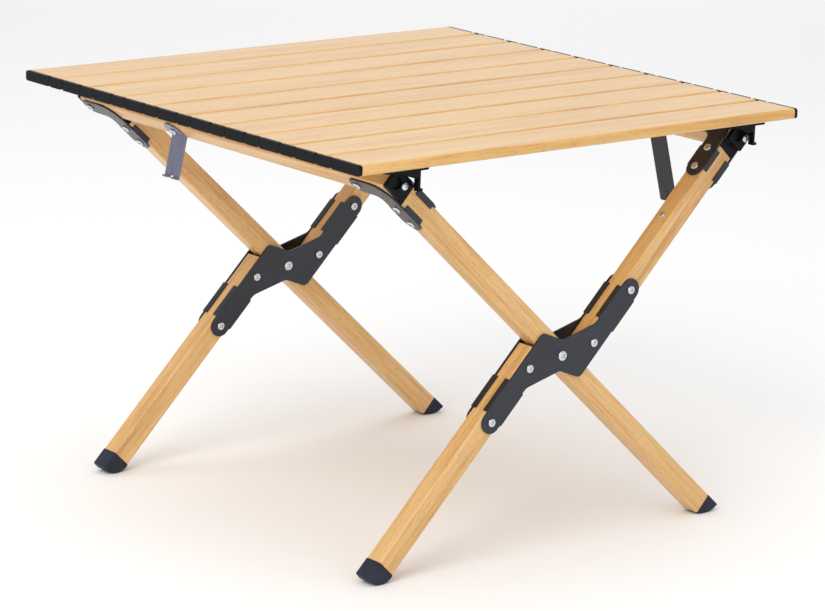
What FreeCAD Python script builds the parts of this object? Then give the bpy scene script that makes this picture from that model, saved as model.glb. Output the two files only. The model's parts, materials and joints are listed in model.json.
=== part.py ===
"""Folding side table: a roll-up top of ten slats on two crossed aluminium frames.

+X runs along the slats, -Y is the near side, +Z is up, and the origin lies on the floor under
the middle of the top. The left frame is a rail with two one-piece legs. The right frame is a
rail with two legs that are each cut in half and bridged by a pair of centre plates, so that a
left leg can pass between the halves. All lengths are in millimetres and angles in degrees.
"""
import FreeCAD, Part
import math
import os
import re
from FreeCAD import Placement, Rotation, Vector

doc = FreeCAD.newDocument("folding_side_table")
sheet = doc.addObject("Spreadsheet::Sheet", "Dims")

DIMENSIONS = [
    ("table_height", 448.0, "floor to the upper face of the top"),
    ("top_length", 590.0, "top, over its end caps"),
    ("slat_width", 55.6, "one slat"),
    ("slat_gap", 2.4, "between two slats"),
    ("slat_thick", 11.0, "slat, top to bottom"),
    ("slat_wall", 1.2, "wall of the slat extrusion"),
    ("slat_round", 3.0, "rounding along a slat's edges"),
    ("cap_out", 4.0, "end cap beyond the slat"),
    ("cap_notch", 2.0, "notch between an end cap and a link block"),
    ("cap_plug", 22.0, "end cap inside the slat"),
    ("link_length", 26.4, "link block, over its round ends"),
    ("stud_width", 4.0, "stud of a link block"),
    ("stud_length", 7.0, "stud inside the end cap"),
    ("running_play", 0.1, "all round a turning stud or bolt"),
    ("link_play", 0.5, "link block to its cap and its slat"),
    ("fit_play", 0.1, "plug inside a tube"),
    ("frame_shift", 14.0, "centre bolts to the right of the top's middle"),
    ("bolt_drop", 240.0, "centre bolts below the upper face of the top"),
    ("left_lean", 42.2, "left legs above the floor"),
    ("right_lean", 45.9, "right legs above the floor"),
    ("frame_span", 467.0, "near legs to far legs, centre to centre"),
    ("leg_width", 24.0, "leg and rail, in the plane of the crossing"),
    ("leg_depth", 22.0, "leg from front to back"),
    ("leg_wall", 1.5, "wall of the leg and rail tube"),
    ("leg_round", 2.5, "rounding along a tube's edges"),
    ("side_play", 0.3, "left leg to each centre plate"),
    ("half_offset", 26.0, "right leg halves to each side of the centre bolt"),
    ("half_gap", 17.0, "centre bolt to the cut end of a leg half"),
    ("left_neck", 10.0, "top end of a left leg to its rail"),
    ("right_neck", 11.0, "top end of a right leg to its rail"),
    ("left_rise", 2.5, "inner foot corner of a left leg above the floor"),
    ("right_rise", 7.5, "inner foot corner of a right leg above the floor"),
    ("left_seat", 4.36, "latch plate to the left rail under it"),
    ("right_seat", 3.16, "latch plate to the right rail under it"),
    ("rail_over", 47.5, "rail beyond the middle of the far legs"),
    ("plate_thick", 2.0, "stamped steel plates"),
    ("tab_depth", 7.0, "folded tab, from the plate inwards"),
    ("tab_thick", 1.5, "folded tab"),
    ("near_screw", 36.0, "centre bolt to the inner plate screw"),
    ("outer_screw", 106.0, "centre bolt to the outer plate screw"),
    ("plate_tab_start", 60.0, "centre bolt to a centre plate's tab"),
    ("plate_tab_end", 101.0, "centre bolt to the end of that tab"),
    ("lobe_round", 8.0, "rounding of a centre plate's lobe"),
    ("end_screw", 7.0, "end of a leg to its first corner rivet"),
    ("screw_pitch", 25.0, "first to second corner rivet"),
    ("arm_reach", 37.5, "corner plate, leg middle to rail rivet"),
    ("arm_round", 10.0, "round end of the corner plate's arm"),
    ("shank_width", 4.0, "rivets and plate screws"),
    ("head_width", 9.0, "heads of rivets and plate screws"),
    ("head_thick", 2.0, "height of those heads"),
    ("bolt_width", 6.0, "centre bolt"),
    ("bolt_head", 11.0, "head of the centre bolt"),
    ("foot_tip", 20.0, "foot cap, outer side beyond the leg"),
    ("foot_plug", 16.0, "foot cap inside the leg"),
    ("block_plug", 18.0, "corner block inside the leg"),
    ("block_play", 0.2, "corner block to the rail"),
    ("rail_cap_flange", 5.5, "rail end cap on the tube end"),
    ("rail_cap_plug", 14.0, "rail end cap inside the tube"),
    ("recess_width", 13.0, "recess in the face of a rail end cap"),
    ("recess_depth", 3.0, "depth of that recess"),
    ("recess_inset", 3.5, "recess off the middle, away from the pin"),
    ("pin_width", 8.0, "silver pin in the rail end cap"),
    ("pin_proud", 1.5, "pin beyond the face of the cap"),
    ("pin_right", 7.0, "pin to the right of the rail's middle"),
    ("pin_low", 3.0, "pin below the rail's middle"),
    ("hook_width", 25.0, "frame hook, along the rail"),
    ("hook_drop", 46.0, "left hook below its bend"),
    ("long_hook_drop", 84.0, "right hook below its bend"),
    ("hook_bend", 1.0, "bend of a frame hook outside the rail's inner edge"),
    ("hook_splay", 59.6, "bend of a frame hook"),
    ("hook_lip", 5.0, "turned lip at a hook's end"),
    ("left_hook_place", 116.0, "left hook behind the middle"),
    ("right_hook_place", 118.0, "right hook in front of the middle"),
    ("latch_plate", 2.5, "latch bracket's plate"),
    ("latch_width", 64.0, "latch plate along the slat"),
    ("latch_depth", 48.0, "latch plate across the slat"),
    ("latch_slant", 12.0, "slanted corner of the latch plate"),
    ("latch_wall", 2.6, "hook wall of the latch"),
    ("latch_gap", 1.7, "rail's side corner to a hook wall beside it"),
    ("near_left_gap", 17.0, "middle of the left rail to the wall in front of its end"),
    ("near_right_gap", 9.4, "middle of the right rail to the wall in front of its end"),
    ("latch_drop", 28.0, "hook wall below the plate"),
    ("latch_length", 7.0, "hook wall along the rail"),
    ("latch_tip", 3.0, "turned tip of the hook wall"),
    ("latch_web", 34.0, "web that stiffens the hook wall, along the slat"),
    ("latch_play", 0.7, "hook wall to the rail's end"),
    ("seat_length", 12.0, "pad of the latch along the rail"),
    ("seat_width", 14.0, "pad of the latch that rests on the rail"),
    ("seat_play", 0.02, "that pad to the rail"),
    ("stay_screw", 97.0, "top end of the near right leg to its stay screw"),
]
SLATS = 10

for row, (alias, value, meaning) in enumerate(DIMENSIONS, start=1):
    sheet.set(f"A{row}", meaning)
    sheet.set(f"B{row}", str(value))
    sheet.setAlias(f"B{row}", alias)
doc.recompute()


def dim(alias):
    """The number in the cell of that name."""
    return float(getattr(sheet, alias))


def rail_corner(side_name):
    """Middle of a rail to its upper edge; the tube stands almost on its corner."""
    lean = math.radians(dim(f"{side_name}_lean"))
    bend = dim("leg_round")
    return (dim("leg_width") / 2 - bend) * (math.cos(lean) + math.sin(lean)) + bend


def rail_reach(side_name, offset):
    """Centre bolt to the middle of a rail, so that the rail carries the top at its height."""
    lean = math.radians(dim(f"{side_name}_lean"))
    crown = dim("table_height") - dim("slat_thick") - dim("latch_plate") - dim(f"{side_name}_seat")
    level = dim("table_height") - dim("bolt_drop")
    rise = crown - rail_corner(side_name) - level + offset * math.cos(lean)
    return rise / math.sin(lean)


# Five more cells hold what follows from the others: how high the centre bolts are, and where
# each rail and each leg's top end is.
results = [("bolt_height", dim("table_height") - dim("bolt_drop"))]
for side_name, offset in (("left", 0), ("right", dim("half_offset"))):
    reach = rail_reach(side_name, offset)
    results.append((f"{side_name}_reach", reach))
    results.append((f"{side_name}_top", reach - dim("leg_width") / 2 - dim(f"{side_name}_neck")))
for row, (alias, value) in enumerate(results, start=len(DIMENSIONS) + 2):
    sheet.set(f"A{row}", alias)
    sheet.set(f"B{row}", f"{value:.6f}")
    sheet.setAlias(f"B{row}", alias)
doc.recompute()
aliases = {row[0] for row in DIMENSIONS} | {alias for alias, value in results}


def linked(formula):
    """A formula in plain names, turned into one that reads the sheet's cells."""
    return re.sub(r"[a-z_]+", lambda m: f"Dims.{m[0]}" if m[0] in aliases else m[0], formula)


def bind(thing, **formulas):
    """Tie properties of an object to formulas; x, y and z are its place."""
    for name, formula in formulas.items():
        target = f"Placement.Base.{name}" if name in "xyz" else name
        thing.setExpression(target, linked(str(formula)))
    return thing


# ---- shapes that the sub-parts are made of ----

def block(name, length, width, height, x="0", y="0", z="0"):
    """A box whose lowest corner is at x, y, z."""
    thing = doc.addObject("Part::Box", name)
    return bind(thing, Length=length, Width=width, Height=height, x=x, y=y, z=z)


def rod(name, width, length, x="0", y="0", z="0", axis=Vector(0, 0, 1)):
    """A cylinder of that diameter that starts at x, y, z and runs along the axis."""
    thing = doc.addObject("Part::Cylinder", name)
    thing.Placement.Rotation = Rotation(Vector(0, 0, 1), axis)
    return bind(thing, Radius=f"({width}) / 2", Height=length, x=x, y=y, z=z)


def cut(name, base, tools):
    """The base less all the tools."""
    joined = tools[0] if len(tools) == 1 else fuse(name + "_tools", tools)
    thing = doc.addObject("Part::Cut", name)
    thing.Base = base
    thing.Tool = joined
    return thing


def fuse(name, pieces):
    """The pieces as one solid."""
    thing = doc.addObject("Part::MultiFuse", name)
    thing.Shapes = pieces
    return thing


def soften(name, base, radius, direction):
    """Round every straight edge of the base that runs in that direction."""
    doc.recompute()
    thing = doc.addObject("Part::Fillet", name)
    thing.Base = base
    chosen = []
    for number, edge in enumerate(base.Shape.Edges, start=1):
        along = (edge.Vertexes[-1].Point - edge.Vertexes[0].Point)
        if along.Length > 0 and along.normalize().cross(direction).Length < 1e-6:
            chosen.append((number, radius, radius))
    thing.Edges = chosen
    return thing


def tube(name, length, width, depth, x, y="0", z="0"):
    """A square tube along X with rounded edges, centred on y and z."""
    outer = block(name + "_outer", length, depth, width, x, f"{y} - ({depth}) / 2",
                  f"{z} - ({width}) / 2")
    wall = "leg_wall"
    inner = block(name + "_inner", f"({length}) + 2", f"({depth}) - 2 * {wall}",
                  f"({width}) - 2 * {wall}", f"({x}) - 1", f"{y} - ({depth}) / 2 + {wall}",
                  f"{z} - ({width}) / 2 + {wall}")
    return soften(name + "_rounded", outer, dim("leg_round"), Vector(1, 0, 0)), inner


def rounded_path(points):
    """Lines and tangent arcs through corners given as (across, up, radius)."""
    edges = []
    ends = []
    count = len(points)
    for index, (across, up, radius) in enumerate(points):
        corner = Vector(across, up, 0)
        before = (Vector(*points[index - 1][:2], 0) - corner).normalize()
        after = (Vector(*points[(index + 1) % count][:2], 0) - corner).normalize()
        if radius == 0:
            ends.append((corner, corner))
            continue
        half = before.getAngle(after) / 2
        setback = radius / math.tan(half)
        start = corner + before * setback
        finish = corner + after * setback
        middle_line = (before + after).normalize()
        middle = corner + middle_line * (radius / math.sin(half) - radius)
        edges.append(Part.Arc(start, middle, finish))
        ends.append((start, finish))
    for index in range(count):
        start = ends[index - 1][1]
        finish = ends[index][0]
        if start.distanceToPoint(finish) > 1e-6:
            edges.append(Part.LineSegment(start, finish))
    return edges


UPRIGHT = Rotation(Vector(1, 0, 0), 90)
FLAT = Rotation()


def pressed(name, edges, thickness, plane, x="0", y="0", z="0"):
    """A sketch of these edges, extruded; upright sketches grow towards -Y, flat ones up."""
    sketch = doc.addObject("Sketcher::SketchObject", name + "_sketch")
    for edge in edges:
        sketch.addGeometry(edge, False)
    sketch.Placement.Rotation = plane
    bind(sketch, x=x, y=y, z=z)
    thing = doc.addObject("Part::Extrusion", name)
    thing.Base = sketch
    thing.DirMode = "Normal"
    thing.Solid = True
    return bind(thing, LengthFwd=thickness)


sub_parts = []


def keep(label, thing, frame=Placement()):
    """Name a finished sub-part, put it in its frame and list it for writing."""
    thing.Label = label
    thing.Placement = frame.multiply(thing.Placement)
    sub_parts.append(thing)
    return thing


def keep_group(label, shapes, frame=Placement()):
    """A group of separate solids that are alike, as one sub-part."""
    thing = doc.addObject("Part::Feature", label)
    thing.Shape = Part.makeCompound(shapes)
    return keep(label, thing, frame)


# ---- the two frames' own directions ----
# Inside a frame X runs along the legs, Y from near to far and Z across the legs.

centre = Vector(dim("frame_shift"), 0, dim("bolt_height"))
left_frame = Placement(centre, Rotation(Vector(0, 1, 0), dim("left_lean")))
right_frame = Placement(centre, Rotation(Vector(0, 1, 0), -dim("right_lean")))
sides = {"near": -1, "far": 1}
half_width = dim("leg_width") / 2
half_depth = dim("leg_depth") / 2
left_depth = "leg_depth - 2 * side_play"


def leg_foot_length(lean, across, rise):
    """Centre bolt to a leg's lower end, so that its inner corner is at that rise."""
    angle = math.radians(lean)
    return (dim("bolt_height") + across * math.cos(angle) - rise) / math.sin(angle)


left_foot = leg_foot_length(dim("left_lean"), -half_width, dim("left_rise"))
right_foot = leg_foot_length(dim("right_lean"), dim("half_offset") - half_width,
                             dim("right_rise"))

# ---- the top: slats, end caps and link blocks ----

pitch = "(slat_width + slat_gap)"
stud_place = dim("link_length") / 2 - dim("slat_thick") / 2
slat_pitch = dim("slat_width") + dim("slat_gap")
slat_half = dim("slat_width") / 2


def slat_centre(number):
    """Place of a slat across the top; slat 1 is the far one."""
    return ((SLATS + 1) / 2 - number) * slat_pitch


def slat(number):
    """A hollow aluminium extrusion with two inner webs."""
    name = f"slat_{number:02d}"
    middle = f"({(SLATS + 1) / 2 - number}) * {pitch}"
    length = "(top_length - 2 * cap_out)"
    outer = block(name + "_outer", length, "slat_width", "slat_thick", f"-{length} / 2",
                  f"{middle} - slat_width / 2", "table_height - slat_thick")
    outer = soften(name + "_rounded", outer, dim("slat_round"), Vector(1, 0, 0))
    hollow = block(name + "_hollow", f"{length} + 2", "slat_width - 2 * slat_wall",
                   "slat_thick - 2 * slat_wall", f"-{length} / 2 - 1",
                   f"{middle} - slat_width / 2 + slat_wall",
                   "table_height - slat_thick + slat_wall")
    inside = dim("slat_round") - dim("slat_wall")
    if inside > 0:
        hollow = soften(name + "_hollow_round", hollow, inside, Vector(1, 0, 0))
    keep(name, cut(name + "_cut", outer, [hollow]))


def cap_outline(number):
    """An end cap's outer face: round hollows where the link blocks sit, with cut corners."""
    high = dim("slat_thick") / 2
    reach = high + dim("link_play")
    stud = slat_pitch / 2 - stud_place
    depth = dim("cap_notch")
    lip = stud - math.sqrt(reach ** 2 - (high - depth) ** 2)
    shoulder = lip - depth
    inner = stud - reach
    edges = []
    corners = {}
    for side in (-1, 1):
        linked_side = 1 < number < SLATS or (number == 1) == (side < 0)
        if linked_side:
            edges.append(Part.Arc(Vector(side * lip, high - depth, 0), Vector(side * inner, 0, 0),
                                  Vector(side * lip, depth - high, 0)))
            for up in (1, -1):
                edges.append(Part.LineSegment(Vector(side * lip, up * (high - depth), 0),
                                              Vector(side * shoulder, up * high, 0)))
            corners[side] = (side * shoulder, high)
            continue
        bend = dim("slat_round")
        face = side * slat_half
        level = face - side * bend
        nook = bend * (1 - math.sqrt(0.5))
        for up in (1, -1):
            edges.append(Part.Arc(Vector(level, up * high, 0),
                                  Vector(face - side * nook, up * (high - nook), 0),
                                  Vector(face, up * (high - bend), 0)))
        edges.append(Part.LineSegment(Vector(face, high - bend, 0),
                                      Vector(face, bend - high, 0)))
        corners[side] = (level, high)
    for up in (1, -1):
        edges.append(Part.LineSegment(Vector(corners[-1][0], up * corners[-1][1], 0),
                                      Vector(corners[1][0], up * corners[1][1], 0)))
    return edges


ALONG = Rotation(Vector(1, 1, 1), 120)


def end_cap(number, side):
    """One moulded cap: a face on the slat's end and a plug inside it."""
    name = f"cap_{number:02d}_{'right' if side > 0 else 'left'}"
    middle = f"({(SLATS + 1) / 2 - number}) * {pitch}"
    face_start = "top_length / 2 - cap_out" if side > 0 else "-top_length / 2"
    face = pressed(name + "_face", cap_outline(number), "cap_out", ALONG, face_start, middle,
                   "table_height - slat_thick / 2")
    inside = "(slat_wall + fit_play)"
    plug_start = "top_length / 2 - cap_out - cap_plug" if side > 0 else "-top_length / 2 + cap_out"
    plug = block(name + "_plug", "cap_plug", f"slat_width - 2 * {inside}",
                 f"slat_thick - 2 * {inside}", plug_start,
                 f"{middle} - slat_width / 2 + {inside}", f"table_height - slat_thick + {inside}")
    bend = dim("slat_round") - dim("slat_wall")
    if bend > 0:
        plug = soften(name + "_plug_round", plug, bend, Vector(1, 0, 0))
    holes = []
    for edge in (-1, 1):
        if 1 < number < SLATS or (number == 1) == (edge < 0):
            place = f"{middle} + ({edge}) * ({pitch} / 2 - (link_length - slat_thick) / 2)"
            start = ("top_length / 2 - cap_out - stud_length - 1" if side > 0
                     else "-top_length / 2 + cap_out - 1")
            holes.append(rod(f"{name}_hole_{edge + 1}", "stud_width + 2 * running_play",
                             "stud_length + 2", start, place, "table_height - slat_thick / 2",
                             Vector(1, 0, 0)))
    return cut(name, fuse(name + "_solid", [face, plug]), holes)


def link_block(number, side):
    """One moulded link between slat and next slat, with a stud for each cap."""
    name = f"link_{number:02d}_{'right' if side > 0 else 'left'}"
    middle = f"({SLATS / 2 - number}) * {pitch}"
    level = "table_height - slat_thick / 2"
    thick = "(cap_out - link_play)"
    start = f"top_length / 2 - {thick}" if side > 0 else "-top_length / 2"
    straight = block(name + "_bar", thick, "link_length - slat_thick", "slat_thick", start,
                     f"{middle} - (link_length - slat_thick) / 2", "table_height - slat_thick")
    pieces = [straight]
    for edge in (-1, 1):
        place = f"{middle} + ({edge}) * (link_length - slat_thick) / 2"
        pieces.append(rod(f"{name}_end_{edge + 1}", "slat_thick", thick, start, place, level,
                          Vector(1, 0, 0)))
        stud_start = f"{start} - stud_length - link_play" if side > 0 else start
        pieces.append(rod(f"{name}_stud_{edge + 1}", "stud_width",
                          f"{thick} + stud_length + link_play", stud_start, place, level,
                          Vector(1, 0, 0)))
    return fuse(name, pieces)


def pair(label, left, right):
    """Two like solids at the two ends of the slats."""
    both = doc.addObject("Part::Compound", label + "_pair")
    both.Links = [left, right]
    keep(label, both)


for number in range(1, SLATS + 1):
    slat(number)
    pair(f"end_caps_{number:02d}", end_cap(number, -1), end_cap(number, 1))
for number in range(1, SLATS):
    pair(f"link_blocks_{number:02d}", link_block(number, -1), link_block(number, 1))


# ---- latch brackets: plates under the end slats that hook over the rail ends ----

def rail_centre(side):
    """Middle of a rail, across and above the floor."""
    frame = left_frame if side < 0 else right_frame
    level = 0 if side < 0 else -dim("half_offset")
    reach = dim("left_reach" if side < 0 else "right_reach")
    return frame.multVec(Vector(side * reach, 0, level))


def rail_crown(side):
    """Height of a rail's upper edge."""
    return rail_centre(side).z + rail_corner("left" if side < 0 else "right")


def arm_crown(side):
    """Height of the rail's far end, which is the corner plate's arm where that is higher."""
    frame = left_frame if side < 0 else right_frame
    reach = dim("left_reach" if side < 0 else "right_reach") + dim("arm_round")
    level = half_width + dim("plate_thick") - (0 if side < 0 else dim("half_offset"))
    return max(frame.multVec(Vector(side * reach, 0, level)).z, rail_crown(side))


def latch(name, side, end):
    """A moulded plate with a pad over the rail, a hook wall at the rail's end and a web."""
    middle = slat_centre(1 if end > 0 else SLATS)
    under = "(table_height - slat_thick)"
    floor = "(table_height - slat_thick - latch_plate)"
    side_name = "left" if side < 0 else "right"
    beside = rail_corner(side_name) + dim("latch_gap")
    gap = beside if end > 0 else dim(f"near_{side_name}_gap")
    rail_x = rail_centre(side).x
    right = rail_x + gap + dim("latch_wall")
    left = right - dim("latch_width")
    edge = middle + end * dim("latch_depth") / 2
    inner = middle - end * dim("latch_depth") / 2
    slant = dim("latch_slant")
    path = rounded_path([(left, inner, 4), (right, inner, 2), (right, edge - end * slant, 2),
                         (right - slant, edge, 2), (left, edge, 4)])
    plate = pressed(name + "_plate", path, "latch_plate", FLAT, "0", "0", floor)
    crown = arm_crown(side) if end > 0 else rail_crown(side)
    if end > 0:
        seat_y = "frame_span / 2 + rail_over - seat_length"
        wall_y = f"{seat_y} - latch_length"
    else:
        seat_y = "-frame_span / 2 - leg_depth / 2"
        wall_y = f"{seat_y} - rail_cap_flange - pin_proud - latch_play - latch_length"
    seat = block(name + "_seat", "seat_width", "seat_length",
                 f"{under} - latch_plate / 2 - {crown} - seat_play",
                 f"{rail_x} - seat_width / 2", seat_y, f"{crown} + seat_play")
    wall_x = f"{rail_x} + {gap}"
    wall = block(name + "_wall", "latch_wall", "latch_length", "latch_drop + latch_plate / 2",
                 wall_x, wall_y, f"{floor} - latch_drop")
    tip = block(name + "_tip", "latch_wall + latch_tip", "latch_length", "latch_wall",
                wall_x, wall_y, f"{floor} - latch_drop")
    pieces = [plate, seat, wall, tip]
    if end < 0:
        depth = dim("latch_drop") / 2
        start = right - dim("latch_web")
        outline = [(start, 1, 0), (right - 1, 1, 0), (right - 1, -depth, 0),
                   (right - dim("latch_wall") - 6, -depth, 5), (start, -depth / 3, 3)]
        pieces.append(pressed(name + "_web", rounded_path(outline), "latch_length", UPRIGHT,
                              "0", f"{wall_y} + latch_length", floor))
    return fuse(name, pieces)


for end_name, end in sides.items():
    pair(f"latches_{end_name}", latch(f"latch_{end_name}_left", -1, end),
         latch(f"latch_{end_name}_right", 1, end))


# ---- legs and rails ----

def leg_y(end):
    """Middle plane of the near or far legs."""
    return f"{sides[end]} * frame_span / 2"


def bored(label, shell, hollow, holes, frame):
    """A tube with its hollow and all its holes."""
    keep(label, cut(label + "_cut", shell, [hollow] + holes), frame)


def holes_across(name, places, z):
    """Holes right through a tube, front to back."""
    return [rod(f"{name}_bore_{index}", width, "leg_depth + 4", x, f"{y} - leg_depth / 2 - 2", z,
                Vector(0, 1, 0)) for index, (x, y, width) in enumerate(places)]


def holes_through(name, places, z):
    """Holes right through a tube, from one broad face to the other."""
    return [rod(f"{name}_rivet_{index}", width, "leg_width + 4", x, y, f"{z} - leg_width / 2 - 2")
            for index, (x, y, width) in enumerate(places)]


rivet_places = ("end_screw", "end_screw + screw_pitch")
for end in sides:
    name = f"left_leg_{end}"
    shell, hollow = tube(name, f"left_top + {left_foot}", "leg_width", left_depth, "-left_top",
                         leg_y(end))
    pivot = holes_across(name, [("0", leg_y(end), "bolt_width + 2 * running_play")], "0")
    rivets = [(f"-left_top + {place}", leg_y(end), "shank_width") for place in rivet_places]
    bored(name, shell, hollow, pivot + holes_through(name, rivets, "0"), left_frame)

    name = f"right_upper_leg_{end}"
    shell, hollow = tube(name, "right_top - half_gap", "leg_width", "leg_depth", "half_gap",
                         leg_y(end), "-half_offset")
    screws = [(place, leg_y(end), "shank_width") for place in ("near_screw", "outer_screw")]
    rivets = [(f"right_top - ({place})", leg_y(end), "shank_width") for place in rivet_places]
    if end == "near":
        rivets.append(("right_top - stay_screw", leg_y(end), "shank_width"))
    bored(name, shell, hollow, holes_across(name, screws, "-half_offset")
          + holes_through(name, rivets, "-half_offset"), right_frame)

    name = f"right_lower_leg_{end}"
    shell, hollow = tube(name, f"{right_foot} - half_gap", "leg_width", "leg_depth",
                         f"-{right_foot}", leg_y(end), "half_offset")
    screws = [(f"-{place}", leg_y(end), "shank_width") for place in ("near_screw", "outer_screw")]
    bored(name, shell, hollow, holes_across(name, screws, "half_offset"), right_frame)


def rail(label, x, z, hook_y, frame):
    """A square tube from the near legs' outer face to beyond the far legs."""
    start = "(-frame_span / 2 - leg_depth / 2)"
    length = "(frame_span + leg_depth / 2 + rail_over)"
    outer = block(label + "_outer", "leg_width", length, "leg_width", f"{x} - leg_width / 2",
                  start, f"{z} - leg_width / 2")
    outer = soften(label + "_rounded", outer, dim("leg_round"), Vector(0, 1, 0))
    inner = block(label + "_inner", "leg_width - 2 * leg_wall", f"{length} + 2",
                  "leg_width - 2 * leg_wall", f"{x} - leg_width / 2 + leg_wall", f"{start} - 1",
                  f"{z} - leg_width / 2 + leg_wall")
    places = [(x, f"{leg_y(end)} + arm_reach", "shank_width") for end in sides]
    places.append((x, hook_y, "shank_width"))
    bored(label, outer, inner, holes_through(label, places, z), frame)


rail("left_rail", "-left_reach", "0", "left_hook_place", left_frame)
rail("right_rail", "right_reach", "-half_offset", "-right_hook_place", right_frame)


# ---- steel plates ----

def centre_plate_outline():
    """The plate that bridges a right leg's halves; it is the same when turned half round."""
    edge_in = dim("half_offset") - half_width
    edge_out = dim("half_offset") + half_width
    end = dim("outer_screw") + half_width
    lobe = dim("lobe_round")
    side = [(-end, edge_in, half_width * 0.999), (-end, edge_out, half_width * 0.999),
            (1.3, edge_out, lobe), (13, 10, lobe), (53, -edge_in, lobe + 4)]
    return side + [(-across, -up, radius) for across, up, radius in side]


def plate_tabs(name, front, y):
    """Four tabs, folded over the broad faces of both leg halves."""
    tabs = []
    for half, low in ((1, "-half_offset"), (-1, "half_offset")):
        start = "plate_tab_start" if half > 0 else "-plate_tab_end"
        for face in (-1, 1):
            z = f"{low} + leg_width / 2" if face > 0 else f"{low} - leg_width / 2 - tab_thick"
            tab_y = f"{y}" if front else f"{y} + plate_thick - tab_depth"
            tabs.append(block(f"{name}_tab_{half + 1}_{face + 1}", "plate_tab_end - plate_tab_start",
                              "tab_depth", "tab_thick", start, tab_y, z))
    return tabs


for end in sides:
    for place, front in (("front", True), ("back", False)):
        label = f"centre_plate_{end}_{place}"
        low = f"{leg_y(end)} - leg_depth / 2 - plate_thick" if front else (
            f"{leg_y(end)} + leg_depth / 2")
        flat = pressed(label + "_flat", rounded_path(centre_plate_outline()), "plate_thick",
                       UPRIGHT, "0", f"{low} + plate_thick")
        solid = fuse(label + "_solid", [flat] + plate_tabs(label, front, low))
        holes = [rod(f"{label}_hole_{index}", width, "plate_thick + 2", x, f"{low} - 1", z,
                     Vector(0, 1, 0)) for index, (x, z, width) in enumerate((
                         ("0", "0", "bolt_width"), ("near_screw", "-half_offset", "shank_width"),
                         ("outer_screw", "-half_offset", "shank_width"),
                         ("-near_screw", "half_offset", "shank_width"),
                         ("-outer_screw", "half_offset", "shank_width")))]
        keep(label, cut(label + "_cut", solid, holes), right_frame)


def corner_outline(side, top, reach, end):
    """An L that runs up the leg and turns along the rail; across is the leg's direction."""
    leg_half = half_depth
    reach = dim(reach)
    foot_end = dim(top) - dim("end_screw") - dim("screw_pitch") - leg_half
    crown = reach + dim("arm_round")
    sole = reach - dim("arm_round")
    tip = dim("arm_reach") + dim("arm_round")
    corners = [(foot_end, -leg_half, leg_half * 0.999), (crown, -leg_half, 24),
               (crown, tip, dim("arm_round") * 0.999), (sole, tip, dim("arm_round") * 0.999),
               (sole - 2, leg_half, 9), (foot_end, leg_half, leg_half * 0.999)]
    return [(side * across, end + up, radius) for across, up, radius in corners]


upper_ends = ((-1, "left", left_frame, "left_top", "left_reach", "0", left_depth),
              (1, "right", right_frame, "right_top", "right_reach", "-half_offset", "leg_depth"))
for side, side_name, frame, top, reach, level, depth in upper_ends:
    for end in sides:
        label = f"corner_plates_{end}_{side_name}"
        middle = sides[end] * dim("frame_span") / 2
        path = rounded_path(corner_outline(side, top, reach, middle))
        plates = []
        for face in (-1, 1):
            name = f"{label}_{'upper' if face > 0 else 'lower'}"
            low = (f"{level} + leg_width / 2" if face > 0
                   else f"{level} - leg_width / 2 - plate_thick")
            flat = pressed(name + "_flat", path, "plate_thick", FLAT, "0", "0", low)
            tab_z = (f"{level} + leg_width / 2 + plate_thick - tab_depth" if face > 0
                     else f"{level} - leg_width / 2 - plate_thick")
            tab_x = (f"-{top} + end_screw - 1" if side < 0
                     else f"{top} - end_screw - screw_pitch")
            tabs = []
            for edge in (-1, 1):
                tab_y = (f"{leg_y(end)} - ({depth}) / 2 - tab_thick" if edge < 0
                         else f"{leg_y(end)} + ({depth}) / 2")
                tabs.append(block(f"{name}_tab_{edge + 1}", "screw_pitch + 1", "tab_thick",
                                  "tab_depth", tab_x, tab_y, tab_z))
            spots = [(f"{side} * ({top} - ({place}))", leg_y(end)) for place in rivet_places]
            spots.append((f"{side} * {reach}", f"{leg_y(end)} + arm_reach"))
            holes = [rod(f"{name}_hole_{index}", "shank_width", "plate_thick + 2", x, y,
                         f"{low} - 1") for index, (x, y) in enumerate(spots)]
            plates.append(cut(name, fuse(name + "_solid", [flat] + tabs), holes))
        both = doc.addObject("Part::Compound", label + "_pair")
        both.Links = plates
        keep(label, both, frame)


# ---- moulded pieces: corner blocks, rail end caps and feet ----



def pin_place(side, frame):
    """Middle of a rail end cap's pin, in the frame's own directions."""
    beside = rail_centre(side) + Vector(dim("pin_right"), 0, -dim("pin_low"))
    return frame.inverse().multVec(beside)


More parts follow.
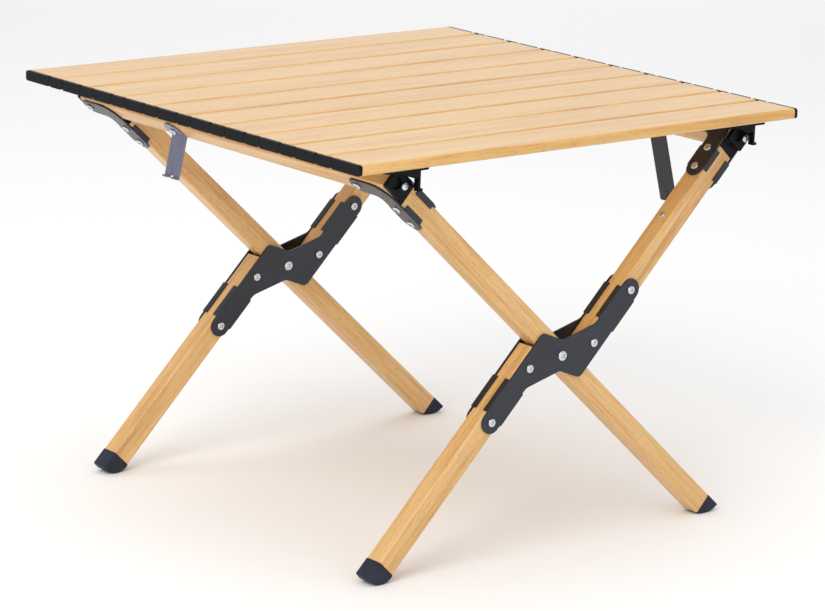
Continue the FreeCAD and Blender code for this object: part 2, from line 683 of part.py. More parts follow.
for side, side_name, frame, top, reach, level, depth in upper_ends:
    blocks = []
    caps = []
    for end in sides:
        name = f"corner_block_{end}_{side_name}"
        head = f"({reach} - leg_width / 2 - block_play)"
        inside = "(leg_wall + fit_play)"
        head_x = f"-{head}" if side < 0 else top
        plug_x = f"-{top}" if side < 0 else f"{top} - block_plug"
        top_part = block(name + "_head", f"{head} - {top}", depth, "leg_width", head_x,
                         f"{leg_y(end)} - ({depth}) / 2", f"{level} - leg_width / 2")
        top_part = soften(name + "_head_round", top_part, dim("leg_round"), Vector(1, 0, 0))
        plug = block(name + "_plug", "block_plug", f"({depth}) - 2 * {inside}",
                     f"leg_width - 2 * {inside}", plug_x,
                     f"{leg_y(end)} - ({depth}) / 2 + {inside}",
                     f"{level} - leg_width / 2 + {inside}")
        hole = rod(name + "_hole", "shank_width", "leg_width + 4", f"{side} * ({top} - end_screw)",
                   leg_y(end), f"{level} - leg_width / 2 - 2")
        blocks.append(cut(name, fuse(name + "_solid", [top_part, plug]), [hole]))

        name = f"rail_cap_{end}_{side_name}"
        facing = sides[end]
        tube_end = "frame_span / 2 + " + ("rail_over" if facing > 0 else "leg_depth / 2")
        out = Vector(0, facing, 0)
        flange_y = tube_end if facing > 0 else f"-({tube_end}) - rail_cap_flange"
        plug_y = f"{tube_end} - rail_cap_plug" if facing > 0 else f"-({tube_end})"
        flange = block(name + "_flange", "leg_width", "rail_cap_flange", "leg_width",
                       f"{side} * {reach} - leg_width / 2", flange_y,
                       f"{level} - leg_width / 2")
        flange = soften(name + "_flange_round", flange, dim("leg_round"), Vector(0, 1, 0))
        rail_plug = block(name + "_plug", f"leg_width - 2 * {inside}", "rail_cap_plug",
                          f"leg_width - 2 * {inside}",
                          f"{side} * {reach} - leg_width / 2 + {inside}", plug_y,
                          f"{level} - leg_width / 2 + {inside}")
        pin = pin_place(side, frame)
        pin_hole = rod(name + "_pin", "pin_width", "rail_cap_flange + 1", pin.x,
                       f"{facing} * ({tube_end})", pin.z, out)
        away = (frame.inverse().multVec(rail_centre(side)) - pin).normalize()
        recess = rod(name + "_recess", "recess_width", "recess_depth + 1",
                     f"{side} * {reach} + {away.x} * recess_inset",
                     f"{facing} * ({tube_end} + rail_cap_flange - recess_depth)",
                     f"{level} + {away.z} * recess_inset", out)
        holes = [pin_hole, recess]
        if facing > 0:
            holes.append(rod(name + "_rivet", "shank_width", "leg_width + 4",
                             f"{side} * {reach}", f"{leg_y(end)} + arm_reach",
                             f"{level} - leg_width / 2 - 2"))
        caps.append(cut(name, fuse(name + "_solid", [flange, rail_plug]), holes))
    for label, links in ((f"corner_blocks_{side_name}", blocks), (f"rail_caps_{side_name}", caps)):
        both = doc.addObject("Part::Compound", label + "_pair")
        both.Links = links
        keep(label, both, frame)


def floor_arc(frame, start, finish):
    """The arc from start to finish that just touches the floor, inside the frame."""
    here = frame.multVec(start)
    there = frame.multVec(finish)
    first = 1 / here.z - 1 / there.z
    second = -2 * (here.x / here.z - there.x / there.z)
    third = here.x ** 2 / here.z + here.z - there.x ** 2 / there.z - there.z
    spread = math.sqrt(second ** 2 - 4 * first * third)
    roots = [(-second + spread) / (2 * first), (-second - spread) / (2 * first)]
    middle = min(roots, key=lambda x: abs(x - (here.x + there.x) / 2))
    touch = frame.inverse().multVec(Vector(middle, 0, 0))
    return Part.Arc(Vector(start.x, start.z, 0), Vector(touch.x, touch.z, 0),
                    Vector(finish.x, finish.z, 0))


for side, side_name, frame, length, level, depth in (
        (1, "left", left_frame, left_foot, 0, left_depth),
        (-1, "right", right_frame, right_foot, dim("half_offset"), "leg_depth")):
    for end in sides:
        label = f"foot_{end}_{side_name}"
        low = level - half_width
        high = level + half_width
        inner = Vector(side * length, 0, low)
        tip = Vector(side * (length + dim("foot_tip")), 0, high)
        sole = floor_arc(frame, inner, tip)
        heel = Vector(side * length, high, 0)
        path = [sole, Part.LineSegment(Vector(tip.x, tip.z, 0), heel),
                Part.LineSegment(heel, Vector(inner.x, inner.z, 0))]
        shell = pressed(label + "_shell", path, depth, UPRIGHT, "0",
                        f"{leg_y(end)} + ({depth}) / 2")
        inside = "(leg_wall + fit_play)"
        plug_x = f"{length} - foot_plug" if side > 0 else f"-{length}"
        plug = block(label + "_plug", "foot_plug", f"({depth}) - 2 * {inside}",
                     f"leg_width - 2 * {inside}", plug_x,
                     f"{leg_y(end)} - ({depth}) / 2 + {inside}",
                     f"{level} - leg_width / 2 + {inside}")
        keep(label, fuse(label + "_solid", [shell, plug]), frame)


# ---- frame hooks: bent plates that swivel on the rails ----

def frame_hook(label, side, reach, level, hook_y, drop, frame):
    """A round-backed flange on the rail's lower face, bent down to a notched lip."""
    bend = dim(reach) - half_width + dim("hook_bend")
    half = dim("hook_width") / 2
    back = dim(reach) + half
    path = rounded_path([(side * bend, -half, 0), (side * back, -half, half * 0.999),
                         (side * back, half, half * 0.999), (side * bend, half, 0)])
    face = f"{level} - leg_width / 2 - plate_thick - 0.1"
    flange = pressed(label + "_flange", path, "plate_thick", FLAT, "0", hook_y, face)
    eye = rod(label + "_eye", "shank_width + 2 * running_play", "plate_thick + 2",
              f"{side} * {reach}", hook_y, f"{face} - 1")
    blade = block(label + "_blade", drop, "hook_width", "plate_thick", "0",
                  "-hook_width / 2", "-plate_thick")
    lip = block(label + "_lip", "plate_thick", "hook_width", "hook_lip", f"{drop} - plate_thick",
                "-hook_width / 2", "-hook_lip")
    notch = rod(label + "_notch", "7", "hook_lip + 4", drop, "0", "-hook_lip - 2")
    arm = cut(label + "_arm", fuse(label + "_arm_solid", [blade, lip]), [notch])
    turn = dim("hook_splay") if side < 0 else 180 - dim("hook_splay")
    spin = Rotation(Vector(0, 1, 0), turn)
    if side > 0:
        spin = spin.multiply(Rotation(Vector(1, 0, 0), 180))
    arm.Placement.Rotation = spin
    top = dim("plate_thick") if side < 0 else 0
    corner = Vector(side * (bend + 0.5), 0, 0) + spin.multVec(Vector(0, 0, 0))
    bind(arm, x=corner.x, y=hook_y, z=f"{face} + {top}")
    keep(label, cut(label + "_cut", fuse(label + "_solid", [flange, arm]), [eye]), frame)


frame_hook("frame_hook_left", -1, "left_reach", "0", "left_hook_place", "hook_drop",
           left_frame)
frame_hook("frame_hook_right", 1, "right_reach", "-half_offset", "-right_hook_place",
           "long_hook_drop", right_frame)


# ---- fasteners ----

def cross_head(width, thick):
    """A domed head with a cross recess, its flat side at the origin and its dome along +Z."""
    head = Part.makeCylinder(width / 2, thick)
    rim = [edge for edge in head.Edges if edge.BoundBox.ZMin > thick - 1e-6]
    head = head.makeFillet(thick * 0.6, rim)
    slot = Part.makeBox(width * 0.55, width * 0.14, thick)
    slot.translate(Vector(-width * 0.275, -width * 0.07, thick * 0.5))
    other = slot.copy()
    other.rotate(Vector(), Vector(0, 0, 1), 90)
    return head.cut(slot).cut(other)


def fastener(place, axis, length, shank, head, thick, plain_end=True):
    """A shank along the axis from place, with a crossed head at its start."""
    solid = Part.makeCylinder(shank / 2, length)
    top = cross_head(head, thick)
    top.rotate(Vector(), Vector(1, 0, 0), 180)
    pieces = [top]
    if plain_end:
        end = Part.makeCylinder(head * 0.45, thick * 0.8, Vector(0, 0, length))
        pieces.append(end)
    solid = solid.fuse(pieces).removeSplitter()
    solid.Placement = Placement(place, Rotation(Vector(0, 0, 1), axis))
    return solid


def rail_pin(place, facing, tube_end):
    """A domed pin in the face of a rail end cap."""
    length = dim("rail_cap_flange") + dim("pin_proud")
    solid = Part.makeCylinder(dim("pin_width") / 2, length)
    rim = [edge for edge in solid.Edges if edge.BoundBox.ZMin > length - 1e-6]
    solid = solid.makeFillet(dim("pin_proud") * 0.8, rim)
    base = Vector(place.x, facing * tube_end, place.z)
    solid.Placement = Placement(base, Rotation(Vector(0, 0, 1), Vector(0, facing, 0)))
    return solid


shank = dim("shank_width")
head = dim("head_width")
thick = dim("head_thick")
plate = dim("plate_thick")
up = Vector(0, 0, 1)
back = Vector(0, 1, 0)
left_group = []
right_group = []
bolts = []
for end, sign in sides.items():
    middle = sign * dim("frame_span") / 2
    through = dim("leg_width") + 2 * plate
    low_left = -half_width - plate
    low_right = -dim("half_offset") - half_width - plate
    for step in (dim("end_screw"), dim("end_screw") + dim("screw_pitch")):
        left_group.append(fastener(Vector(-dim("left_top") + step, middle, low_left), up,
                                   through, shank, head, thick))
        right_group.append(fastener(Vector(dim("right_top") - step, middle, low_right + through),
                                    -up, through, shank, head, thick))
    arm = middle + dim("arm_reach")
    left_group.append(fastener(Vector(-dim("left_reach"), arm, low_left), up, through, shank,
                               head, thick))
    right_group.append(fastener(Vector(dim("right_reach"), arm, low_right + through), -up,
                                through, shank, head, thick))
    front = middle - half_depth - plate
    across = dim("leg_depth") + 2 * plate
    for place in (dim("near_screw"), dim("outer_screw")):
        for turn in (1, -1):
            spot = Vector(turn * place, front, -turn * dim("half_offset"))
            right_group.append(fastener(spot, back, across, shank, head, thick))
    bolts.append(fastener(Vector(0, front, 0), back, across, dim("bolt_width"),
                          dim("bolt_head"), thick + 0.5))
    tube_end = dim("frame_span") / 2 + (dim("rail_over") if sign > 0 else half_depth)
    left_group.append(rail_pin(pin_place(-1, left_frame), sign, tube_end))
    right_group.append(rail_pin(pin_place(1, right_frame), sign, tube_end))
hook_through = dim("leg_width") + plate + 0.2
left_group.append(fastener(Vector(-dim("left_reach"), dim("left_hook_place"),
                                  low_left - 0.2), up, hook_through, shank, head, thick))
right_group.append(fastener(Vector(dim("right_reach"), -dim("right_hook_place"),
                                   low_right - 0.2), up, hook_through, shank, head, thick))
stay = Vector(dim("right_top") - dim("stay_screw"), -dim("frame_span") / 2,
              -dim("half_offset") + half_width)
right_group.append(fastener(stay, -up, 12, shank, head * 0.8, thick, False))
keep_group("fasteners_left", left_group, left_frame)
keep_group("fasteners_right", right_group, right_frame)
keep_group("centre_bolts", bolts, right_frame)


# ---- check and write ----

doc.recompute()
for thing in doc.Objects:
    if "Invalid" in thing.State or "Error" in thing.State:
        raise SystemExit(f"{thing.Name} ({thing.Label}) failed: {thing.State}")
os.makedirs("parts", exist_ok=True)
for thing in sub_parts:
    if thing.Shape.isNull() or not thing.Shape.isValid():
        raise SystemExit(f"{thing.Label} has no valid shape")
for thing in sub_parts:
    thing.Shape.exportStep(f"parts/{thing.Label}.step")
print(len(sub_parts), "sub-parts written")
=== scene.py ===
"""The looks of a folding side table: a roll-up top of wood-grain slats on two crossed frames."""
import json
import math

import bmesh
import bpy
from mathutils import Matrix, Vector


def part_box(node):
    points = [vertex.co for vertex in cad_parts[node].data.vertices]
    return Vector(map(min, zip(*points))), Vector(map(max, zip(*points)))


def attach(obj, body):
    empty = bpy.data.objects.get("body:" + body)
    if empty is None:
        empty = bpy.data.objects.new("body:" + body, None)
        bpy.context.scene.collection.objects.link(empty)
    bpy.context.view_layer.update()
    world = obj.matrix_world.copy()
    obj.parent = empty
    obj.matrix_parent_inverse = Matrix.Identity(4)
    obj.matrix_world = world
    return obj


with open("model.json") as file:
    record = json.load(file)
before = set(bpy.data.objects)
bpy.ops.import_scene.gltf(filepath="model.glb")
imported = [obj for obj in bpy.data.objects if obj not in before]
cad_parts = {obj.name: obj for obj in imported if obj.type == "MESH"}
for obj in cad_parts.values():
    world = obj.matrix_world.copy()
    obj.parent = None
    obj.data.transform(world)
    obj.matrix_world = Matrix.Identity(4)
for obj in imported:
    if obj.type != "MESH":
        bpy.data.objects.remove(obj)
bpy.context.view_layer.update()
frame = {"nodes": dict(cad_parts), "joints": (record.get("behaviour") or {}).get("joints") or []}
MM = 0.001


# ---- Slats of the top ----
# Ten hollow aluminium extrusions, anodised and then wrapped in a printed wood-grain film that is
# fused to the metal by heat. The print runs along the slat and turns over its rounded edges.

def colour(code):
    """An sRGB hex code as linear red, green, blue and alpha."""
    parts = [int(code[place:place + 2], 16) / 255 for place in (1, 3, 5)]
    return [p / 12.92 if p <= 0.04045 else ((p + 0.055) / 1.055) ** 2.4 for p in parts] + [1]


def add_node(tree, kind, settings=None, links=None):
    """A node with its properties and input values set and its inputs joined to other sockets."""
    node = tree.nodes.new(kind)
    for name, value in (settings or {}).items():
        if isinstance(name, str) and hasattr(node, name):
            setattr(node, name, value)
        else:
            node.inputs[name].default_value = value
    for name, source in (links or {}).items():
        tree.links.new(source, node.inputs[name])
    return node


def new_material(name):
    """A new material, its node tree and its main shader."""
    material = bpy.data.materials.new(name)
    material.use_nodes = True
    tree = material.node_tree
    return material, tree, tree.nodes["Principled BSDF"]


def fill_ramp(node, stops):
    """Colours along a ramp, as (place, hex code)."""
    band = node.color_ramp
    while len(band.elements) < len(stops):
        band.elements.new(0.5)
    for element, (place, code) in zip(band.elements, stops):
        element.position = place
        element.color = colour(code)
    return node


def grain_film(name, shades, along, board=0.0, roughness=0.42, coat=0.4):
    """Heat-transfer wood-grain film on aluminium: a printed beech with fine streaks and flecks.

    along turns the piece so that its grain lies on X, board is the width of one printed board.
    """
    material, tree, shader = new_material(name)
    place = add_node(tree, "ShaderNodeTexCoord").outputs["Object"]
    turned = add_node(tree, "ShaderNodeMapping", {"Rotation": along}, {"Vector": place})
    grain = turned.outputs["Vector"]
    if board:
        # Each board is cut from another part of the print, so its pattern is shifted along.
        parts = add_node(tree, "ShaderNodeSeparateXYZ", None, {"Vector": grain})
        count = add_node(tree, "ShaderNodeMath", {"operation": "DIVIDE", 1: board},
                         {0: parts.outputs["Y"]})
        whole = add_node(tree, "ShaderNodeMath", {"operation": "FLOOR"},
                         {0: count.outputs["Value"]})
        chance = add_node(tree, "ShaderNodeTexWhiteNoise", {"noise_dimensions": "1D"},
                          {"W": whole.outputs["Value"]})
        shift = add_node(tree, "ShaderNodeVectorMath", {"operation": "SCALE", "Scale": 3.0},
                         {0: chance.outputs["Color"]})
        moved = add_node(tree, "ShaderNodeVectorMath", {"operation": "ADD"},
                         {0: grain, 1: shift.outputs["Vector"]})
        grain = moved.outputs["Vector"]
    # Broad figure of the board: bands about 14 mm wide that wander over 250 mm.
    long = add_node(tree, "ShaderNodeMapping", {"Scale": (4, 70, 70)}, {"Vector": grain})
    figure = add_node(tree, "ShaderNodeTexNoise",
                      {"Scale": 1.0, "Detail": 3.0, "Roughness": 0.55, "Distortion": 0.6},
                      {"Vector": long.outputs["Vector"]})
    # Streaks about 1.5 mm wide and 60 mm long, the finest that still show at this distance.
    fine = add_node(tree, "ShaderNodeMapping", {"Scale": (16, 640, 640)}, {"Vector": grain})
    streaks = add_node(tree, "ShaderNodeTexNoise",
                       {"Scale": 1.0, "Detail": 4.0, "Roughness": 0.6, "Distortion": 0.2},
                       {"Vector": fine.outputs["Vector"]})
    # Pores of the print: dashes drawn 0.8 mm wide and 8 mm long, coarser than the real 0.2 mm.
    short = add_node(tree, "ShaderNodeMapping", {"Scale": (120, 1200, 1200)}, {"Vector": grain})
    pores = add_node(tree, "ShaderNodeTexNoise", {"Scale": 1.0, "Detail": 1.0},
                     {"Vector": short.outputs["Vector"]})
    dashes = add_node(tree, "ShaderNodeMapRange",
                      {"From Min": 0.60, "From Max": 0.72, "To Min": 0.0, "To Max": 0.5},
                      {"Value": pores.outputs["Fac"]})
    blend = add_node(tree, "ShaderNodeMix", {"data_type": "FLOAT", "Factor": 0.5},
                     {2: figure.outputs["Fac"], 3: streaks.outputs["Fac"]})
    light, middle, dark = shades
    wood = fill_ramp(add_node(tree, "ShaderNodeValToRGB", None, {"Fac": blend.outputs[0]}),
                     [(0.36, dark), (0.50, middle), (0.64, light)])
    printed = add_node(tree, "ShaderNodeMix",
                       {"data_type": "RGBA", "blend_type": "MULTIPLY", 7: colour("#C79A66")},
                       {0: dashes.outputs["Result"], 6: wood.outputs["Color"]})
    tree.links.new(printed.outputs[2], shader.inputs["Base Color"])
    gloss = add_node(tree, "ShaderNodeMapRange",
                     {"To Min": roughness - 0.05, "To Max": roughness + 0.07},
                     {"Value": streaks.outputs["Fac"]})
    tree.links.new(gloss.outputs["Result"], shader.inputs["Roughness"])
    relief = add_node(tree, "ShaderNodeBump", {"Strength": 0.12, "Distance": 0.0002},
                      {"Height": blend.outputs[0]})
    tree.links.new(relief.outputs["Normal"], shader.inputs["Normal"])
    shader.inputs["IOR"].default_value = 1.5
    shader.inputs["Coat Weight"].default_value = coat
    shader.inputs["Coat Roughness"].default_value = 0.35
    return material


def wear(node, material):
    """A CAD node gets one material in place of its own."""
    mesh = frame["nodes"][node].data
    mesh.materials.clear()
    mesh.materials.append(material)


SAME_SPOT = 0.01 * MM
SHARP_TURN = math.radians(35)


def ease_edges(node, width):
    """Join the node's loose triangles and break its sharp edges a little."""
    piece = frame["nodes"][node]
    weld = piece.modifiers.new("closed", "WELD")
    weld.merge_threshold = SAME_SPOT
    bevel = piece.modifiers.new("broken edges", "BEVEL")
    bevel.width = width
    bevel.segments = 2
    bevel.limit_method = "ANGLE"
    bevel.angle_limit = SHARP_TURN
    bevel.harden_normals = True
    bevel.use_clamp_overlap = True


slat_names = sorted(name for name in frame["nodes"] if name.startswith("slat_"))
slat_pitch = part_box(slat_names[0])[0].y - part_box(slat_names[1])[0].y
slat_film = grain_film("wood-grain film on slats", ("#DFB56E", "#D8A85A", "#CA9343"),
                       (0, 0, 0), board=slat_pitch, roughness=0.38, coat=0.9)
for name in slat_names:
    wear(name, slat_film)


# ---- End caps and link blocks ----
# Glass-filled nylon mouldings. A cap is pushed into each end of a slat, and a link block joins
# each cap to the next with two studs, so that the top can roll up.

def moulded_plastic(name, shade, roughness, grit):
    """Injection-moulded plastic with the fine sparked grain of its mould."""
    material, tree, shader = new_material(name)
    place = add_node(tree, "ShaderNodeTexCoord").outputs["Object"]
    # The mould's grain is grit wide, and a slow cloud over 40 mm varies the gloss.
    grains = add_node(tree, "ShaderNodeTexNoise", {"Scale": 1 / grit, "Detail": 2.0},
                      {"Vector": place})
    cloud = add_node(tree, "ShaderNodeTexNoise", {"Scale": 25.0, "Detail": 2.0},
                     {"Vector": place})
    tone = fill_ramp(add_node(tree, "ShaderNodeValToRGB", None, {"Fac": cloud.outputs["Fac"]}),
                     [(0.3, shade[0]), (0.7, shade[1])])
    tree.links.new(tone.outputs["Color"], shader.inputs["Base Color"])
    gloss = add_node(tree, "ShaderNodeMapRange",
                     {"To Min": roughness - 0.06, "To Max": roughness + 0.08},
                     {"Value": cloud.outputs["Fac"]})
    tree.links.new(gloss.outputs["Result"], shader.inputs["Roughness"])
    relief = add_node(tree, "ShaderNodeBump", {"Strength": 0.25, "Distance": 0.00015},
                      {"Height": grains.outputs["Fac"]})
    tree.links.new(relief.outputs["Normal"], shader.inputs["Normal"])
    shader.inputs["IOR"].default_value = 1.53
    shader.inputs["Specular IOR Level"].default_value = 0.12
    return material


black_nylon = moulded_plastic("moulded black nylon", ("#07080B", "#0D0F15"), 0.38, 0.8 * MM)
for name in sorted(frame["nodes"]):
    if name.startswith(("end_caps", "link_blocks")):
        wear(name, black_nylon)
        ease_edges(name, 0.5 * MM)


# ---- Tubes of the two frames ----
# Almost square aluminium tube with rounded corners, in a slightly less golden wood-grain film.
# The print runs along each tube, so the rails are turned a quarter and each pair of legs is
# turned by its lean.

fold = next(joint for joint in frame["joints"] if joint["name"] == "frame_fold")
pivot = Vector(fold["pos_m"])
LEFT_LEAN = math.radians(42.2)
RIGHT_LEAN = math.radians(-45.9)
leg_shades = ("#E3BC80", "#D9AC6C", "#C08C4C")
film_for = {
    "rail": grain_film("wood-grain film on rails", leg_shades, (0, 0, math.radians(90))),
    "left": grain_film("wood-grain film on left legs", leg_shades, (0, -LEFT_LEAN, 0)),
    "right": grain_film("wood-grain film on right legs", leg_shades, (0, -RIGHT_LEAN, 0)),
}
for name in sorted(frame["nodes"]):
    if name.endswith("_rail"):
        wear(name, film_for["rail"])
    elif "_leg_" in name:
        wear(name, film_for[name.split("_")[0]])


# ---- Steel plates ----
# Blanked and folded 2 mm steel under a fine-textured dark powder coat: the plates that bridge
# the cut legs, the L plates in the corners and the hooks under the rails.

def powder_coat(name, shade, roughness):
    """Baked epoxy powder: a hard, slightly dimpled skin whose dimples are about 1 mm wide."""
    material, tree, shader = new_material(name)
    place = add_node(tree, "ShaderNodeTexCoord").outputs["Object"]
    dimples = add_node(tree, "ShaderNodeTexNoise", {"Scale": 900.0, "Detail": 1.5},
                       {"Vector": place})
    cloud = add_node(tree, "ShaderNodeTexNoise", {"Scale": 30.0, "Detail": 3.0},
                     {"Vector": place})
    tone = fill_ramp(add_node(tree, "ShaderNodeValToRGB", None, {"Fac": cloud.outputs["Fac"]}),
                     [(0.3, shade[0]), (0.7, shade[1])])
    tree.links.new(tone.outputs["Color"], shader.inputs["Base Color"])
    gloss = add_node(tree, "ShaderNodeMapRange",
                     {"To Min": roughness - 0.05, "To Max": roughness + 0.05},
                     {"Value": dimples.outputs["Fac"]})
    tree.links.new(gloss.outputs["Result"], shader.inputs["Roughness"])
    relief = add_node(tree, "ShaderNodeBump", {"Strength": 0.2, "Distance": 0.0002},
                      {"Height": dimples.outputs["Fac"]})
    tree.links.new(relief.outputs["Normal"], shader.inputs["Normal"])
    shader.inputs["IOR"].default_value = 1.52
    return material


dark_coat = powder_coat("powder-coated steel", ("#10141F", "#191F2E"), 0.32)
for name in sorted(frame["nodes"]):
    if name.startswith(("centre_plate", "corner_plates", "frame_hook")):
        wear(name, dark_coat)
        ease_edges(name, 0.5 * MM)


def steel_with_painted_reflection(name, shade, roughness):
    """Steel painted a bright grey-lilac as a painted reflection of the light from the left, a
    little cloudy from rolling.
    """
    material, tree, shader = new_material(name)
    place = add_node(tree, "ShaderNodeTexCoord").outputs["Object"]
    haze = add_node(tree, "ShaderNodeTexNoise", {"Scale": 300.0, "Detail": 3.0},
                    {"Vector": place})
    tone = fill_ramp(add_node(tree, "ShaderNodeValToRGB", None, {"Fac": haze.outputs["Fac"]}),
                     [(0.3, shade[0]), (0.7, shade[1])])
    tree.links.new(tone.outputs["Color"], shader.inputs["Base Color"])
    shader.inputs["Metallic"].default_value = 0.85
    shader.inputs["Roughness"].default_value = roughness
    return material


# The short hook looks much brighter than the other plates, though its dark powder coat is the
# same as theirs: its bright grey-lilac colour is a painted reflection of the light from the left.
# Whether its finish differs from theirs or only mirrors the room isn't known, and the brighter
# finish is a guess.
wear("frame_hook_left", steel_with_painted_reflection("short hook with a painted reflection",
                                        ("#7F8398", "#8C90A6"), 0.36))


# ---- Latches, corner blocks and rail end caps ----
# The same black nylon: a bracket under each end of the two outer slats, a block between each
# leg and its rail, and a recessed cap in each end of a rail.

for name in sorted(frame["nodes"]):
    if name.startswith(("latches", "corner_blocks", "rail_caps")):
        wear(name, black_nylon)
        ease_edges(name, 0.6 * MM)


# ---- Feet ----
# Dark grey moulded caps of tough PVC, pushed into the lower ends of the legs. The sole is cut on
# the slant and rounded, so that it stands flat enough at any small change of the lean.

foot_vinyl = moulded_plastic("moulded dark grey vinyl", ("#272B37", "#323744"), 0.5, 1.2 * MM)
for name in sorted(frame["nodes"]):
    if name.startswith("foot"):
        wear(name, foot_vinyl)
        ease_edges(name, 1.2 * MM)


# ---- Screws, rivets and bolts ----
# Bright zinc-plated steel with low domed heads, pressed or screwed through the plates and the
# tubes. The heads that face front or back have a cross recess.

def plated_steel(name, shade, roughness):
    """Bright zinc plate, with the faint haze and rub marks of handling."""
    material, tree, shader = new_material(name)
    place = add_node(tree, "ShaderNodeTexCoord").outputs["Object"]
    haze = add_node(tree, "ShaderNodeTexNoise", {"Scale": 400.0, "Detail": 3.0},
                    {"Vector": place})
    tone = fill_ramp(add_node(tree, "ShaderNodeValToRGB", None, {"Fac": haze.outputs["Fac"]}),
                     [(0.3, shade[0]), (0.7, shade[1])])
    tree.links.new(tone.outputs["Color"], shader.inputs["Base Color"])
    gloss = add_node(tree, "ShaderNodeMapRange",
                     {"To Min": roughness - 0.06, "To Max": roughness + 0.1},
                     {"Value": haze.outputs["Fac"]})
    tree.links.new(gloss.outputs["Result"], shader.inputs["Roughness"])
    shader.inputs["Metallic"].default_value = 1.0
    return material


bright_zinc = plated_steel("bright zinc-plated steel", ("#C9CCD0", "#DCDFE2"), 0.24)
HEAD_STEPS = 24
FACING = 0.9

# A head's height and its cross are shares of its radius, and the cross's depth is a share of that
# height. The cross narrows to its bottom.
HEAD_RISE = 0.32
CROSS_REACH = 0.52
CROSS_HALF = 0.14
CROSS_DEPTH = 0.9
CROSS_TAPER = 0.8


def islands(mesh):
    """The separate solids of a mesh, each as a list of its faces."""
    solids = bmesh.new()
    solids.from_mesh(mesh)
    bmesh.ops.remove_doubles(solids, verts=solids.verts, dist=SAME_SPOT)
    left = dict.fromkeys(solids.faces)
    groups = []
    while left:
        front = [left.popitem()[0]]
        group = []
        while front:
            face = front.pop()
            group.append((face.normal.copy(), face.calc_center_median(), face.calc_area()))
            around = [near for edge in face.edges for near in edge.link_faces if near in left]
            for near in dict.fromkeys(around):
                del left[near]
                front.append(near)
        groups.append(group)
    solids.free()
    return groups


def flat_ends(group):
    """The two largest flat ends of a solid, as (centre, normal, radius)."""
    planes = {}
    for normal, middle, area in group:
        key = tuple(round(part, 2) for part in (*normal, normal.dot(middle) / MM))
        planes.setdefault(key, []).append((normal, middle, area))
    ends = []
    for faces in planes.values():
        whole = sum(area for _, _, area in faces)
        centre = sum((middle * area for _, middle, area in faces), Vector()) / whole
        ends.append((centre, faces[0][0], math.sqrt(whole / math.pi)))
    return sorted(ends, key=lambda end: -end[2])[:2]


def add_head(heads, centre, normal, radius, recess):
    """A low domed head spun about its middle, with or without a cross recess."""
    shape = bmesh.new()
    rise = HEAD_RISE * radius
    profile = [(1.0, 0.0), (1.0, 0.25), (0.94, 0.52), (0.82, 0.75), (0.65, 0.93)]
    if not recess:
        profile += [(0.4, 0.99), (0.0, 1.0)]
    points = [shape.verts.new((out * radius, 0, up * rise)) for out, up in profile]
    edges = [shape.edges.new(ends) for ends in zip(points, points[1:])]
    bmesh.ops.spin(shape, geom=points + edges, cent=(0, 0, 0), axis=(0, 0, 1), angle=math.tau,
                   steps=HEAD_STEPS, use_merge=True)
    bmesh.ops.remove_doubles(shape, verts=shape.verts, dist=radius * 1e-4)
    if recess:
        rim = [edge for edge in shape.edges
               if edge.is_boundary and min(end.co.z for end in edge.verts) > 0.5 * rise]
        corners = []
        for quarter in range(4):
            turned = Matrix.Rotation(quarter * math.pi / 2, 3, "Z")
            for x, y in ((CROSS_REACH, -CROSS_HALF), (CROSS_REACH, CROSS_HALF),
                         (CROSS_HALF, CROSS_HALF)):
                corners.append(shape.verts.new(turned @ Vector((x * radius, y * radius, rise))))
        cross = shape.faces.new(corners)
        bmesh.ops.bridge_loops(shape, edges=rim + list(cross.edges))
        sunk = bmesh.ops.extrude_face_region(shape, geom=[cross])["geom"]
        bottom = [part for part in sunk if isinstance(part, bmesh.types.BMVert)]
        bmesh.ops.translate(shape, verts=bottom, vec=(0, 0, -CROSS_DEPTH * rise))
        bmesh.ops.scale(shape, verts=bottom, vec=(CROSS_TAPER, CROSS_TAPER, 1))
        if cross.is_valid:
            bmesh.ops.delete(shape, geom=[cross], context="FACES_ONLY")
    bmesh.ops.recalc_face_normals(shape, faces=shape.faces)
    turn = normal.to_track_quat("Z", "Y").to_matrix().to_4x4()
    bmesh.ops.transform(shape, matrix=Matrix.Translation(centre) @ turn, verts=shape.verts)
    made = bpy.data.meshes.new("head")
    shape.to_mesh(made)
    shape.free()
    heads.from_mesh(made)
    bpy.data.meshes.remove(made)


for name in ("fasteners_left", "fasteners_right", "centre_bolts"):
    wear(name, bright_zinc)
    ease_edges(name, 0.25 * MM)
    heads = bmesh.new()
    for group in islands(frame["nodes"][name].data):
        for centre, normal, radius in flat_ends(group):
            add_head(heads, centre, normal, radius, abs(normal.y) > FACING)
    heads_mesh = bpy.data.meshes.new(name + "_heads")
    heads.to_mesh(heads_mesh)
    heads.free()
    heads_mesh.materials.append(bright_zinc)
    heads_piece = bpy.data.objects.new(name + "_heads", heads_mesh)
    bpy.context.scene.collection.objects.link(heads_piece)
    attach(heads_piece, "left_frame" if name == "fasteners_left" else "right_frame")


# ---- Floor, light and camera ----
# A pale seamless floor under broad soft lamps, the strongest from the upper left. The camera
# stands low at the near left with a long lens.

FLOOR_HALF = 20
ROOM_LIGHT = 0.68


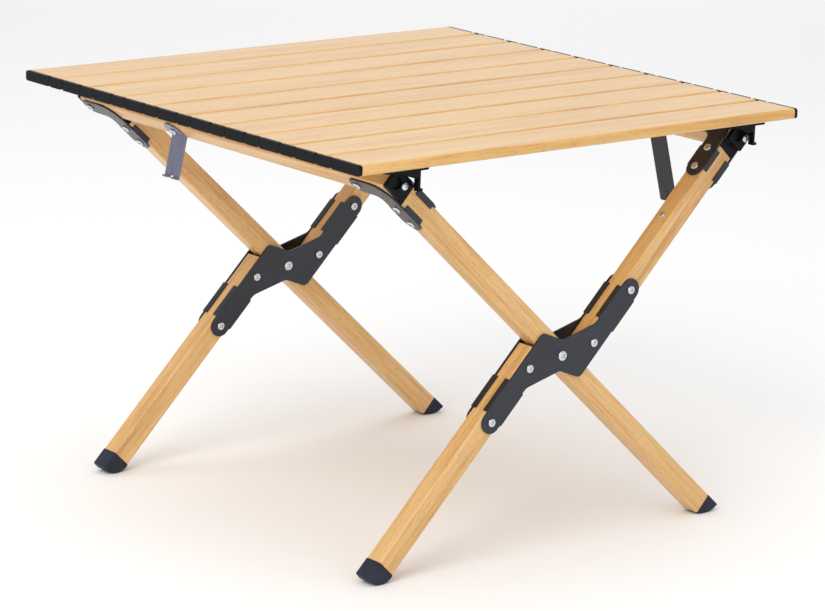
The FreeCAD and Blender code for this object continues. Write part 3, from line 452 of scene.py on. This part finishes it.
def lamp(name, place, aim, width, power):
    """A square soft box that points at a spot."""
    light = bpy.data.lights.new(name, "AREA")
    light.size = width
    light.energy = power
    holder = bpy.data.objects.new(name, light)
    holder.location = place
    holder.rotation_euler = (Vector(aim) - Vector(place)).to_track_quat("-Z", "Y").to_euler()
    bpy.context.scene.collection.objects.link(holder)


floor_bm = bmesh.new()
bmesh.ops.create_grid(floor_bm, x_segments=1, y_segments=1, size=FLOOR_HALF)
floor_mesh = bpy.data.meshes.new("floor")
floor_bm.to_mesh(floor_mesh)
floor_bm.free()
floor = bpy.data.objects.new("floor", floor_mesh)
bpy.context.scene.collection.objects.link(floor)
floor_paper, floor_tree, floor_shader = new_material("pale studio paper")
floor_shader.inputs["Base Color"].default_value = colour("#FBFBFB")
floor_shader.inputs["Roughness"].default_value = 0.9
floor_mesh.materials.append(floor_paper)

lamp("key from the upper left", (-2.6, -1.2, 2.6), (0, 0, 0.3), 2.2, 60)
lamp("top sheet", (0.2, 0.4, 3.4), (0, 0, 0.4), 3.0, 32)
lamp("front fill", (-0.6, -3.6, 1.2), (0, 0, 0.3), 2.4, 16)
lamp("back sheet", (2.3, 2.7, 1.1), (0, 0, 0.45), 2.4, 5)

world = bpy.data.worlds.new("white room")
world.use_nodes = True
world.node_tree.nodes["Background"].inputs["Color"].default_value = colour("#FFFFFF")
world.node_tree.nodes["Background"].inputs["Strength"].default_value = ROOM_LIGHT
bpy.context.scene.world = world
bpy.context.scene.view_settings.view_transform = "Standard"

CAMERA_AZIMUTH = math.radians(-39.63)
CAMERA_ELEVATION = math.radians(13.92)
CAMERA_ROLL = math.radians(1.99)
CAMERA_DISTANCE = 3.944
CAMERA_AIM = Vector((0, -0.0191, 0.2145))
CAMERA_LENS = 159.94
turn = (Matrix.Rotation(CAMERA_AZIMUTH, 4, "Z")
        @ Matrix.Rotation(math.radians(90) - CAMERA_ELEVATION, 4, "X")
        @ Matrix.Rotation(CAMERA_ROLL, 4, "Z"))
lens = bpy.data.cameras.new("camera")
lens.lens = CAMERA_LENS
lens.sensor_width = 36
camera = bpy.data.objects.new("camera", lens)
camera.matrix_world = Matrix.Translation(CAMERA_AIM) @ turn @ Matrix.Translation(
    (0, 0, CAMERA_DISTANCE))
bpy.context.scene.collection.objects.link(camera)
bpy.context.scene.camera = camera
